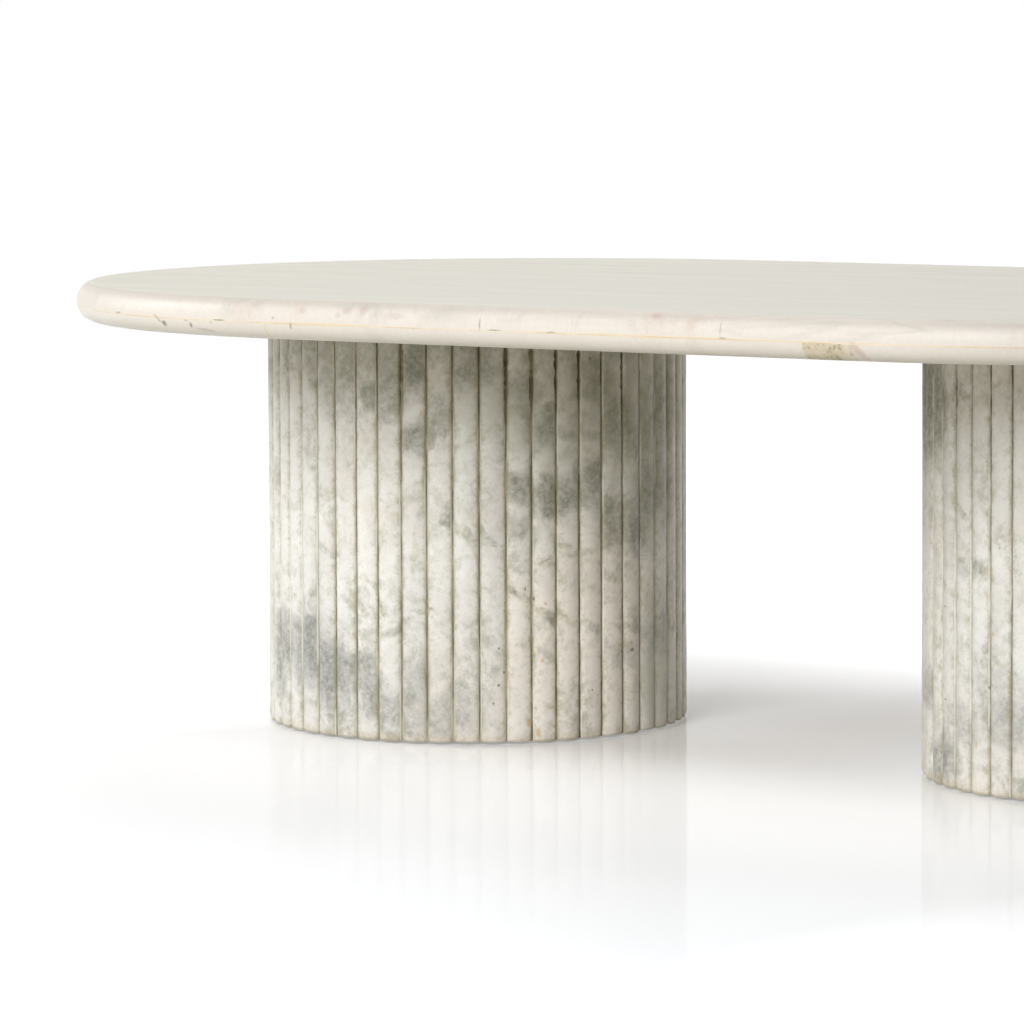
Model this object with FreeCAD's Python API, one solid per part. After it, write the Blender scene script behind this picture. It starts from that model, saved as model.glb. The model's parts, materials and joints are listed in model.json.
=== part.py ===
import FreeCAD, Part
import math
import os

from FreeCAD import Vector

# A racetrack marble top on two drums that are clad in upright marble reeds.
# Millimetres, +X along the top, +Y towards the back, +Z up.
# The origin is on the floor, under the middle of the top.

# Top
TOP_LENGTH = 1524.0
TOP_WIDTH = 914.0
TOP_THICKNESS = 38.0
TABLE_HEIGHT = 446.0
EDGE_FLAT = 3.0                # upright band between the two rounded corners of the edge
SLAB_THICKNESS = 22.0
BOND_THICKNESS = 0.6           # resin bed that shows as a tan line round the edge
STRIP_WIDTH = 90.0             # edge strips under the slab's rim
STRIP_JOINT_GAP = 0.4          # resin in the butt joints of the strips
FRONT_JOINT_INSET = 39.0       # the front strip stops this far short of the right-hand curve
BOARD_CLEARANCE = 0.8          # backing board to edge strips

# Drums
END_OVERHANG = 175.5           # from an end of the top to the crests of the drum below it
DRUM_DIAMETER = 423.0          # over the crests of the reeds
DRUM_FLOOR_GAP = 1.5           # the reeds clear the floor, so that the glides carry the table
REED_COUNT = 51
REED_THICKNESS = 20.0
REED_CROWN = 2.8               # the crest stands this far proud of the shoulders
REED_SHOULDER_RADIUS = 1.6
REED_BACK_GAP = 0.2            # between the backs of two neighbouring reeds
GROUT_DEPTH = 9.0
GROUT_SETBACK = 1.2            # filler lies this far below the shoulders
GROOVE_PHASES = {"left": 0.71, "right": 5.53}    # degrees from +X to a first groove

# Drum core
REED_BOND = 0.3                # adhesive between a reed's back and the core tube
CORE_WALL = 12.0
CORE_FLOOR_GAP = 3.0
FORMER_THICKNESS = 24.0
FORMER_CLEARANCE = 0.3
HAND_HOLE_DIAMETER = 190.0     # way in from below for the top bolts

# Bolts from each drum up into the backing board
BOLT_COUNT = 4
BOLT_CIRCLE_DIAMETER = 150.0
BOLT_DIAMETER = 8.0
BOLT_LENGTH = 40.0
BOLT_HEAD_ACROSS_FLATS = 13.0
BOLT_HEAD_HEIGHT = 5.3
BOLT_HOLE_CLEARANCE = 0.5
WASHER_DIAMETER = 24.0
WASHER_THICKNESS = 2.0
WASHER_HOLE_CLEARANCE = 0.2
TOP_INSERT_DIAMETER = 12.0
TOP_INSERT_LENGTH = 13.0

# Levelling glides under each drum
GLIDE_BASE_DIAMETER = 36.0
GLIDE_BASE_HEIGHT = 7.0
GLIDE_BASE_BEVEL = 1.5
GLIDE_STEM_DIAMETER = 10.0
GLIDE_STEM_LENGTH = 45.0
GLIDE_SOCKET_DEPTH = 5.0       # the stem is moulded this deep into its base
GLIDE_SEAT_CLEARANCE = 0.3     # base to insert flange with the glide screwed home
GLIDE_INSERT_DIAMETER = 16.0
GLIDE_INSERT_LENGTH = 16.0
GLIDE_FLANGE_DIAMETER = 24.0
GLIDE_FLANGE_THICKNESS = 1.5
GLIDE_ANGLES = {"right": 0.0, "back": 90.0, "left": 180.0, "front": 270.0}

THREAD_CLEARANCE = 0.1         # between a plain shank and the bore that stands for its thread
INSERT_CLEARANCE = 0.1         # between an insert and the hole that it is pressed into
OVERRUN = 5.0                  # how far a cutting tool runs past what it cuts

# Places worked out from the sizes above
END_RADIUS = TOP_WIDTH / 2
TANGENT_X = TOP_LENGTH / 2 - END_RADIUS
EDGE_RADIUS = (TOP_THICKNESS - EDGE_FLAT) / 2
UNDERSIDE_Z = TABLE_HEIGHT - TOP_THICKNESS
SLAB_Z = TABLE_HEIGHT - SLAB_THICKNESS
BOND_Z = SLAB_Z - BOND_THICKNESS
DRUM_RADIUS = DRUM_DIAMETER / 2
DRUM_OFFSET = TOP_LENGTH / 2 - END_OVERHANG - DRUM_RADIUS
REED_BACK = DRUM_RADIUS - REED_THICKNESS
REED_SHOULDER = DRUM_RADIUS - REED_CROWN
REED_HALF_ANGLE = math.pi / REED_COUNT
REED_WIDTH = 2 * REED_BACK * math.tan(REED_HALF_ANGLE) - REED_BACK_GAP
REED_HEIGHT = UNDERSIDE_Z - DRUM_FLOOR_GAP
CORE_RADIUS = REED_BACK - REED_BOND
CORE_BORE = CORE_RADIUS - CORE_WALL
FORMER_RADIUS = CORE_BORE - FORMER_CLEARANCE
UPPER_FORMER_Z = UNDERSIDE_Z - FORMER_THICKNESS
LOWER_FORMER_Z = GLIDE_BASE_HEIGHT + GLIDE_SEAT_CLEARANCE + GLIDE_FLANGE_THICKNESS
GLIDE_CIRCLE_RADIUS = (FORMER_RADIUS + HAND_HOLE_DIAMETER / 2) / 2
DRUM_X = {"left": -DRUM_OFFSET, "right": DRUM_OFFSET}


def racetrack(length, width, height, z):
    """Upright solid with straight sides and half-round ends."""
    radius = width / 2
    straight = length / 2 - radius
    edges = [
        Part.LineSegment(Vector(-straight, -radius, z), Vector(straight, -radius, z)),
        Part.Arc(Vector(straight, -radius, z), Vector(straight + radius, 0, z), Vector(straight, radius, z)),
        Part.LineSegment(Vector(straight, radius, z), Vector(-straight, radius, z)),
        Part.Arc(Vector(-straight, radius, z), Vector(-straight - radius, 0, z), Vector(-straight, -radius, z)),
    ]
    wire = Part.Wire([edge.toShape() for edge in edges])
    return Part.Face(wire).extrude(Vector(0, 0, height))


def block(x_low, x_high, y_low, y_high, z_low, z_high):
    """Box between two corners."""
    size = (x_high - x_low, y_high - y_low, z_high - z_low)
    return Part.makeBox(*size, Vector(x_low, y_low, z_low))


def cylinder(diameter, height, z, x=0, y=0):
    return Part.makeCylinder(diameter / 2, height, Vector(x, y, z))


def prism(points, z, height):
    """Upright solid on a closed outline of (x, y) points."""
    corners = [Vector(x, y, z) for x, y in points]
    return Part.Face(Part.makePolygon(corners + corners[:1])).extrude(Vector(0, 0, height))


def around(shape, count, first_degrees):
    """Copies of a shape in even steps about the Z axis."""
    copies = []
    for step in range(count):
        copy = shape.copy()
        copy.rotate(Vector(0, 0, 0), Vector(0, 0, 1), first_degrees + step * 360 / count)
        copies.append(copy)
    return copies


def at_drum(shapes, side):
    """Moves shapes from the Z axis to a drum's axis."""
    for shape in shapes:
        shape.translate(Vector(DRUM_X[side], 0, 0))
    return shapes


def level_edges(shape, z):
    """Edges that lie flat at a height."""
    near = OVERRUN / 1000
    return [e for e in shape.Edges if abs(e.BoundBox.ZMin - z) < near and abs(e.BoundBox.ZMax - z) < near]


def whole_top():
    """Outer form of the top, both corners of its edge rounded."""
    body = racetrack(TOP_LENGTH, TOP_WIDTH, TOP_THICKNESS, UNDERSIDE_Z)
    rims = level_edges(body, UNDERSIDE_Z) + level_edges(body, TABLE_HEIGHT)
    return body.makeFillet(EDGE_RADIUS, rims)


def layer_of(top, z_low, z_high):
    """Slice of the top between two heights."""
    far_x = TOP_LENGTH / 2 + OVERRUN
    far_y = TOP_WIDTH / 2 + OVERRUN
    return top.common(block(-far_x, far_x, -far_y, far_y, z_low, z_high))


def edge_ring(top):
    """Build-up under the slab's rim, before it is divided into strips."""
    layer = layer_of(top, UNDERSIDE_Z, BOND_Z)
    inner = racetrack(
        TOP_LENGTH - 2 * STRIP_WIDTH,
        TOP_WIDTH - 2 * STRIP_WIDTH,
        TOP_THICKNESS + OVERRUN,
        UNDERSIDE_Z - OVERRUN,
    )
    return layer.cut(inner)


def edge_pieces(ring):
    """Strips named by where they lie, and the resin in the joints between them."""
    far_x = TOP_LENGTH / 2 + OVERRUN
    far_y = TOP_WIDTH / 2 + OVERRUN
    half = STRIP_JOINT_GAP / 2
    front_right_x = TANGENT_X - FRONT_JOINT_INSET
    spans = {
        "front": (-TANGENT_X + half, front_right_x - half, -far_y, 0),
        "right_front": (front_right_x + half, far_x, -far_y, -half),
        "right_back": (TANGENT_X + half, far_x, half, far_y),
        "back": (-TANGENT_X + half, TANGENT_X - half, 0, far_y),
        "left_back": (-far_x, -TANGENT_X - half, half, far_y),
        "left_front": (-far_x, -TANGENT_X - half, -far_y, -half),
    }
    joints = [
        (-TANGENT_X - half, -TANGENT_X + half, -far_y, 0),
        (front_right_x - half, front_right_x + half, -far_y, 0),
        (0, far_x, -half, half),
        (TANGENT_X - half, TANGENT_X + half, 0, far_y),
        (-TANGENT_X - half, -TANGENT_X + half, 0, far_y),
        (-far_x, 0, -half, half),
    ]
    strips = {name: ring.common(block(*span, UNDERSIDE_Z, BOND_Z)) for name, span in spans.items()}
    resin = [ring.common(block(*span, UNDERSIDE_Z, BOND_Z)) for span in joints]
    return strips, resin


def bolt_places():
    """Centres of the bolts of one drum, from the drum's axis."""
    radius = BOLT_CIRCLE_DIAMETER / 2
    angles = [math.radians((step + 0.5) * 360 / BOLT_COUNT) for step in range(BOLT_COUNT)]
    return [(radius * math.cos(angle), radius * math.sin(angle)) for angle in angles]


def backing_board():
    """Plywood that fills the ring of edge strips, drilled for the inserts."""
    inset = STRIP_WIDTH + BOARD_CLEARANCE
    board = racetrack(TOP_LENGTH - 2 * inset, TOP_WIDTH - 2 * inset, BOND_Z - UNDERSIDE_Z, UNDERSIDE_Z)
    hole_diameter = TOP_INSERT_DIAMETER + 2 * INSERT_CLEARANCE
    depth = BOND_Z - UNDERSIDE_Z + 2 * OVERRUN
    holes = []
    for drum_x in DRUM_X.values():
        holes += [
            cylinder(hole_diameter, depth, UNDERSIDE_Z - OVERRUN, drum_x + x, y) for x, y in bolt_places()
        ]
    return board.cut(holes)


def sleeve(outer_diameter, bore_diameter, height, z, x=0, y=0):
    """Upright ring."""
    bore = cylinder(bore_diameter, height + 2 * OVERRUN, z - OVERRUN, x, y)
    return cylinder(outer_diameter, height, z, x, y).cut(bore)


def top_inserts(side):
    bore = BOLT_DIAMETER + 2 * THREAD_CLEARANCE
    shapes = [
        sleeve(TOP_INSERT_DIAMETER, bore, TOP_INSERT_LENGTH, UNDERSIDE_Z, x, y) for x, y in bolt_places()
    ]
    return at_drum(shapes, side)


def reed():
    """One marble strip on the +X side: flat back, square sides, crowned face, rounded shoulders."""
    half = REED_WIDTH / 2
    back = [Vector(REED_BACK, -half, DRUM_FLOOR_GAP), Vector(REED_BACK, half, DRUM_FLOOR_GAP)]
    shoulders = [Vector(REED_SHOULDER, -half, DRUM_FLOOR_GAP), Vector(REED_SHOULDER, half, DRUM_FLOOR_GAP)]
    crest = Vector(DRUM_RADIUS, 0, DRUM_FLOOR_GAP)
    outline = Part.Wire([
        Part.LineSegment(back[1], back[0]).toShape(),
        Part.LineSegment(back[0], shoulders[0]).toShape(),
        Part.Arc(shoulders[0], crest, shoulders[1]).toShape(),
        Part.LineSegment(shoulders[1], back[1]).toShape(),
    ])
    body = Part.Face(outline).extrude(Vector(0, 0, REED_HEIGHT))
    near = OVERRUN / 1000
    uprights = [
        e for e in body.Edges
        if e.BoundBox.ZLength > REED_HEIGHT / 2 and abs(e.BoundBox.XMin - REED_SHOULDER) < near
    ]
    return body.makeFillet(REED_SHOULDER_RADIUS, uprights)


def grout_wedge():
    """Filler in the tapering joint between two reeds, on the +X side."""

    def joint_corner(reed_depth):
        """Point on a reed's square side, seen from the joint's own middle plane."""
        along = reed_depth * math.cos(REED_HALF_ANGLE) + REED_WIDTH / 2 * math.sin(REED_HALF_ANGLE)
        aside = reed_depth * math.sin(REED_HALF_ANGLE) - REED_WIDTH / 2 * math.cos(REED_HALF_ANGLE)
        return along, aside

    outer_x, outer_half = joint_corner(REED_SHOULDER - REED_SHOULDER_RADIUS - GROUT_SETBACK)
    inner_x, inner_half = joint_corner(REED_SHOULDER - REED_SHOULDER_RADIUS - GROUT_SETBACK - GROUT_DEPTH)
    outline = [(inner_x, -inner_half), (outer_x, -outer_half), (outer_x, outer_half), (inner_x, inner_half)]
    return prism(outline, DRUM_FLOOR_GAP, REED_HEIGHT)


def core_tube():
    height = UNDERSIDE_Z - CORE_FLOOR_GAP
    return sleeve(2 * CORE_RADIUS, 2 * CORE_BORE, height, CORE_FLOOR_GAP)


def upper_former():
    """Disc at the head of the core, drilled for the top bolts."""
    disc = cylinder(2 * FORMER_RADIUS, FORMER_THICKNESS, UPPER_FORMER_Z)
    hole_diameter = BOLT_DIAMETER + 2 * BOLT_HOLE_CLEARANCE
    depth = FORMER_THICKNESS + 2 * OVERRUN
    return disc.cut([cylinder(hole_diameter, depth, UPPER_FORMER_Z - OVERRUN, x, y) for x, y in bolt_places()])


def glide_place(angle):
    """Centre of a glide from the drum's axis."""
    turn = math.radians(angle)
    return GLIDE_CIRCLE_RADIUS * math.cos(turn), GLIDE_CIRCLE_RADIUS * math.sin(turn)


def lower_former():
    """Ring at the foot of the core, with a hand hole and a hole for each glide's insert."""
    ring = sleeve(2 * FORMER_RADIUS, HAND_HOLE_DIAMETER, FORMER_THICKNESS, LOWER_FORMER_Z)
    hole_diameter = GLIDE_INSERT_DIAMETER + 2 * INSERT_CLEARANCE
    depth = FORMER_THICKNESS + 2 * OVERRUN
    places = [glide_place(angle) for angle in GLIDE_ANGLES.values()]
    return ring.cut([cylinder(hole_diameter, depth, LOWER_FORMER_Z - OVERRUN, x, y) for x, y in places])


def top_bolt(x, y):
    """Hex bolt that stands head down under its washer."""
    seat_z = UPPER_FORMER_Z - WASHER_THICKNESS
    corner_radius = BOLT_HEAD_ACROSS_FLATS / math.sqrt(3)
    corners = [math.radians(step * 60) for step in range(6)]
    outline = [(x + corner_radius * math.cos(a), y + corner_radius * math.sin(a)) for a in corners]
    head = prism(outline, seat_z - BOLT_HEAD_HEIGHT, BOLT_HEAD_HEIGHT)
    return head.fuse(cylinder(BOLT_DIAMETER, BOLT_LENGTH, seat_z, x, y)).removeSplitter()


def top_washer(x, y):
    bore = BOLT_DIAMETER + 2 * WASHER_HOLE_CLEARANCE
    return sleeve(WASHER_DIAMETER, bore, WASHER_THICKNESS, UPPER_FORMER_Z - WASHER_THICKNESS, x, y)


def glide_insert(angle):
    """Flanged threaded insert pressed into the lower former from below."""
    x, y = glide_place(angle)
    barrel = cylinder(GLIDE_INSERT_DIAMETER, GLIDE_INSERT_LENGTH, LOWER_FORMER_Z, x, y)
    flange_z = LOWER_FORMER_Z - GLIDE_FLANGE_THICKNESS
    flange = cylinder(GLIDE_FLANGE_DIAMETER, GLIDE_FLANGE_THICKNESS, flange_z, x, y)
    bore_diameter = GLIDE_STEM_DIAMETER + 2 * THREAD_CLEARANCE
    bore_length = GLIDE_INSERT_LENGTH + GLIDE_FLANGE_THICKNESS + 2 * OVERRUN
    bore = cylinder(bore_diameter, bore_length, flange_z - OVERRUN, x, y)
    return barrel.fuse(flange).removeSplitter().cut(bore)


def glide_base(angle):
    """Nylon foot with a bevelled rim and a socket for its stem."""
    x, y = glide_place(angle)
    body = cylinder(GLIDE_BASE_DIAMETER, GLIDE_BASE_HEIGHT, 0, x, y)
    body = body.makeChamfer(GLIDE_BASE_BEVEL, level_edges(body, 0) + level_edges(body, GLIDE_BASE_HEIGHT))
    socket_diameter = GLIDE_STEM_DIAMETER + 2 * THREAD_CLEARANCE
    socket_z = GLIDE_BASE_HEIGHT - GLIDE_SOCKET_DEPTH
    return body.cut(cylinder(socket_diameter, GLIDE_SOCKET_DEPTH + OVERRUN, socket_z, x, y))


def glide_stem(angle):
    x, y = glide_place(angle)
    return cylinder(GLIDE_STEM_DIAMETER, GLIDE_STEM_LENGTH, GLIDE_BASE_HEIGHT - GLIDE_SOCKET_DEPTH, x, y)


def top_nodes():
    top = whole_top()
    strips, resin = edge_pieces(edge_ring(top))
    nodes = {
        "top_slab": [layer_of(top, SLAB_Z, TABLE_HEIGHT)],
        "bond_layer": [layer_of(top, BOND_Z, SLAB_Z)],
        "edge_joint_resin": resin,
        "backing_board": [backing_board()],
        "top_inserts": top_inserts("left") + top_inserts("right"),
    }
    for name, strip in strips.items():
        nodes["edge_strip_" + name] = [strip]
    return nodes


def drum_nodes(side):
    """Everything in and under one drum."""
    groove = GROOVE_PHASES[side]
    nodes = {
        "reeds": around(reed(), REED_COUNT, groove + math.degrees(REED_HALF_ANGLE)),
        "reed_grout": around(grout_wedge(), REED_COUNT, groove),
        "core_tube": [core_tube()],
        "upper_former": [upper_former()],
        "lower_former": [lower_former()],
        "top_bolts": [top_bolt(x, y) for x, y in bolt_places()],
        "top_washers": [top_washer(x, y) for x, y in bolt_places()],
        "glide_inserts": [glide_insert(angle) for angle in GLIDE_ANGLES.values()],
    }
    for place, angle in GLIDE_ANGLES.items():
        nodes["glide_base_" + place] = [glide_base(angle)]
        nodes["glide_stem_" + place] = [glide_stem(angle)]
    return {side + "_" + name: at_drum(shapes, side) for name, shapes in nodes.items()}


def write(nodes):
    os.makedirs("parts", exist_ok=True)
    for name, shapes in nodes.items():
        shape = shapes[0] if len(shapes) == 1 else Part.makeCompound(shapes)
        shape.exportStep("parts/" + name + ".step")


write({**top_nodes(), **drum_nodes("left"), **drum_nodes("right")})
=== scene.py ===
import json
import math

import bpy
import numpy as np
from mathutils import Matrix, Vector


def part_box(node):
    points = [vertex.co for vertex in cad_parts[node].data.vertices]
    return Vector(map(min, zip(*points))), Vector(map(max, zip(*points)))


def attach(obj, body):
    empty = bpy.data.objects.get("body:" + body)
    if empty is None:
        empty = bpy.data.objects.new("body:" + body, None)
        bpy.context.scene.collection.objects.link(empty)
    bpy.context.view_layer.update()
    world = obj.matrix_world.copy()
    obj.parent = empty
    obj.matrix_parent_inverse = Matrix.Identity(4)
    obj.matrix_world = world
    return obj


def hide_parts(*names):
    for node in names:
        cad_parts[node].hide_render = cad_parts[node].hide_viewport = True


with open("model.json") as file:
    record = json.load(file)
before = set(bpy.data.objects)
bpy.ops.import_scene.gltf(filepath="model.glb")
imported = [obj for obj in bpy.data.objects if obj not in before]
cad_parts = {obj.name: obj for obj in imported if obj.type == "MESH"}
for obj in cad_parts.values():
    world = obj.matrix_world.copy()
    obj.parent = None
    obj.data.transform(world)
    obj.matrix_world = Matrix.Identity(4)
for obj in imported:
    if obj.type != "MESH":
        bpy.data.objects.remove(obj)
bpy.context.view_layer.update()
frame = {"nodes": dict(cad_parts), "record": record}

# A racetrack marble table on two reeded drums. Metres, in the frame of the solids.

# Camera, from a fit to the photograph's outlines
IMAGE_SIZE = 1024
FOCAL_LENGTH_PX = 4784.0
SENSOR_WIDTH_MM = 36.0
CAMERA_PLACE = Vector((2.3113, -4.0059, 0.6798))
CAMERA_YAW = math.radians(-33.426)
CAMERA_PITCH = math.radians(3.151)
CAMERA_ROLL = math.radians(-0.195)
LENS_SHIFT = -0.2

MM = 0.001

# Drums, as in the solids
REED_COUNT = 51
REED_STEP = 2 * math.pi / REED_COUNT
GROOVE_PHASES = {"left": math.radians(0.71), "right": math.radians(5.53)}
REED_THICKNESS = 20 * MM
REED_CROWN = 2.8 * MM

# Points up a reed and across its face, and the angle above which an edge is sharp
REED_RINGS = 110
FRONT_POINTS = 13
SHARP_ANGLE = math.radians(38)

# Small faults of hand-laid stone, different on every reed
DRUM_SEEDS = {"left": 11, "right": 23}
SHOULDER_RADIUS = 2.2 * MM
SHOULDER_WEAR = 0.35
CHIP_START = 0.45
CHIP_GAIN = 3.0
CREST_DROP_MM = 0.35
STONE_JUMP = 9 * MM
STONE_TONES = (0.93, 1.03)
FOOT_UNEVENNESS = 1.4 * MM
FOOT_CORNER = 1.8 * MM
FOOT_CORNER_SHARE = (0.2, 1.0)
FOOT_CORNER_POWER = 6
FOOT_ARRIS = 1.1 * MM
FOOT_ARRIS_DROP = 0.6

# Joints between the reeds, and their filler
BACK_GAP = 0.2 * MM
GROOVE_HALF_WIDTH = 0.6 * MM
GROOVE_WANDER = 0.7 * MM
GROOVE_LEAN = 0.5 * MM
GROUT_DEPTH = 9 * MM
GROUT_SETBACK = 1.2 * MM
GROUT_VOID = 1.2 * MM
GROUT_OVERLAP = 0.3 * MM
GROUT_TAPER = 0.5
# Joints broken out near the top, in degrees round each drum
BROKEN_JOINTS = {"left": (-77, -52, -43, -36, -28, -15), "right": (-133, -118)}
BREAK_START = 0.76
BREAK_WIDTH = 1.7 * MM
BREAK_DEPTH = 1.8
BREAK_GAIN = 3

# Sockets of the colour Mix node, and vector operations that give a number
MIX_FIRST, MIX_SECOND, MIX_RESULT = 6, 7, 2
NUMBER_OPERATIONS = ("LENGTH", "DISTANCE", "DOT_PRODUCT")
# A mark is whole inside the first share of its ellipse and gone beyond the second
MARK_CORE, MARK_RIM = 0.35, 1.15


class Graph:
    """A material's node tree, with short calls that return sockets."""

    def __init__(self, name):
        self.material = bpy.data.materials.new(name)
        self.material.use_nodes = True
        self.tree = self.material.node_tree
        self.tree.nodes.clear()
        self.output = self.tree.nodes.new("ShaderNodeOutputMaterial")

    def node(self, kind, **settings):
        made = self.tree.nodes.new(kind)
        for name, value in settings.items():
            setattr(made, name, value)
        return made

    def put(self, socket, value):
        """Links a socket, or sets a plain value."""
        if isinstance(value, bpy.types.NodeSocket):
            self.tree.links.new(value, socket)
        elif socket.type == "RGBA":
            socket.default_value = (*value, 1.0)
        else:
            socket.default_value = value

    def principled(self, **inputs):
        shader = self.node("ShaderNodeBsdfPrincipled")
        for name, value in inputs.items():
            self.put(shader.inputs[name.replace("_", " ")], value)
        self.tree.links.new(shader.outputs[0], self.output.inputs["Surface"])

    def finish(self, colour, tone, roughness, relief, **inputs):
        """Surface whose gloss and fine relief follow one noise."""
        self.principled(
            Base_Color=colour,
            Roughness=self.step(tone, 0.3, 0.7, *roughness),
            Normal=self.bump(tone, relief),
            **inputs,
        )

    def object_place(self):
        return self.node("ShaderNodeTexCoord").outputs["Object"]

    def attribute(self, name, output="Vector"):
        return self.node("ShaderNodeAttribute", attribute_name=name).outputs[output]

    def math(self, operation, first, second=0.0, clamp=False):
        made = self.node("ShaderNodeMath", operation=operation, use_clamp=clamp)
        self.put(made.inputs[0], first)
        self.put(made.inputs[1], second)
        return made.outputs[0]

    def times(self, first, second, clamp=False):
        return self.math("MULTIPLY", first, second, clamp)

    def gap(self, first, second):
        """How far apart two numbers are."""
        return self.math("ABSOLUTE", self.math("SUBTRACT", first, second))

    def vector(self, operation, first, second=(0, 0, 0)):
        made = self.node("ShaderNodeVectorMath", operation=operation)
        self.put(made.inputs[0], first)
        if operation == "SCALE":
            self.put(made.inputs["Scale"], second)
        else:
            self.put(made.inputs[1], second)
        return made.outputs["Value" if operation in NUMBER_OPERATIONS else "Vector"]

    def split(self, place):
        """The x, y and z of a place."""
        made = self.node("ShaderNodeSeparateXYZ")
        self.put(made.inputs[0], place)
        return made.outputs

    def noise(self, place, scale, detail=4.0, roughness=0.55, output="Fac"):
        made = self.node("ShaderNodeTexNoise")
        self.put(made.inputs["Vector"], place)
        self.put(made.inputs["Scale"], scale)
        self.put(made.inputs["Detail"], detail)
        self.put(made.inputs["Roughness"], roughness)
        return made.outputs[output]

    def cells(self, place, scale):
        """Distance to the nearest scattered point, and that point's own random colour."""
        made = self.node("ShaderNodeTexVoronoi")
        self.put(made.inputs["Vector"], place)
        self.put(made.inputs["Scale"], scale)
        return made.outputs["Distance"], made.outputs["Color"]

    def step(self, value, low, high, to_low=0.0, to_high=1.0):
        """Smooth step between two values."""
        made = self.node("ShaderNodeMapRange", interpolation_type="SMOOTHSTEP")
        for index, number in enumerate((value, low, high, to_low, to_high)):
            self.put(made.inputs[index], number)
        return made.outputs[0]

    def mix(self, amount, first, second, blend="MIX"):
        made = self.node("ShaderNodeMix", data_type="RGBA", blend_type=blend)
        self.put(made.inputs[0], amount)
        self.put(made.inputs[MIX_FIRST], first)
        self.put(made.inputs[MIX_SECOND], second)
        return made.outputs[MIX_RESULT]

    def warp(self, place, scale, amount):
        """Pushes a place about by a soft noise."""
        soft = self.noise(place, scale, 3.0, output="Color")
        push = self.vector("SUBTRACT", soft, (0.5, 0.5, 0.5))
        return self.vector("ADD", place, self.vector("SCALE", push, amount))

    def ellipse(self, place, centre, half_sizes, tilt, strength):
        """Strength in the middle of an ellipse in the XZ plane of a place, fading to 0 at its rim."""
        offset = self.vector("SUBTRACT", place, (centre[0], 0, centre[1]))
        length, width = half_sizes
        along = (math.cos(tilt) / length, 0, -math.sin(tilt) / length)
        across = (math.sin(tilt) / width, 0, math.cos(tilt) / width)
        flat = self.node("ShaderNodeCombineXYZ")
        self.put(flat.inputs[0], self.vector("DOT_PRODUCT", offset, along))
        self.put(flat.inputs[1], self.vector("DOT_PRODUCT", offset, across))
        reach = self.vector("LENGTH", flat.outputs[0])
        return self.step(reach, MARK_RIM, MARK_CORE, 0.0, strength)

    def bump(self, height, distance):
        made = self.node("ShaderNodeBump")
        self.put(made.inputs["Height"], height)
        self.put(made.inputs["Distance"], distance)
        return made.outputs[0]


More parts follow.
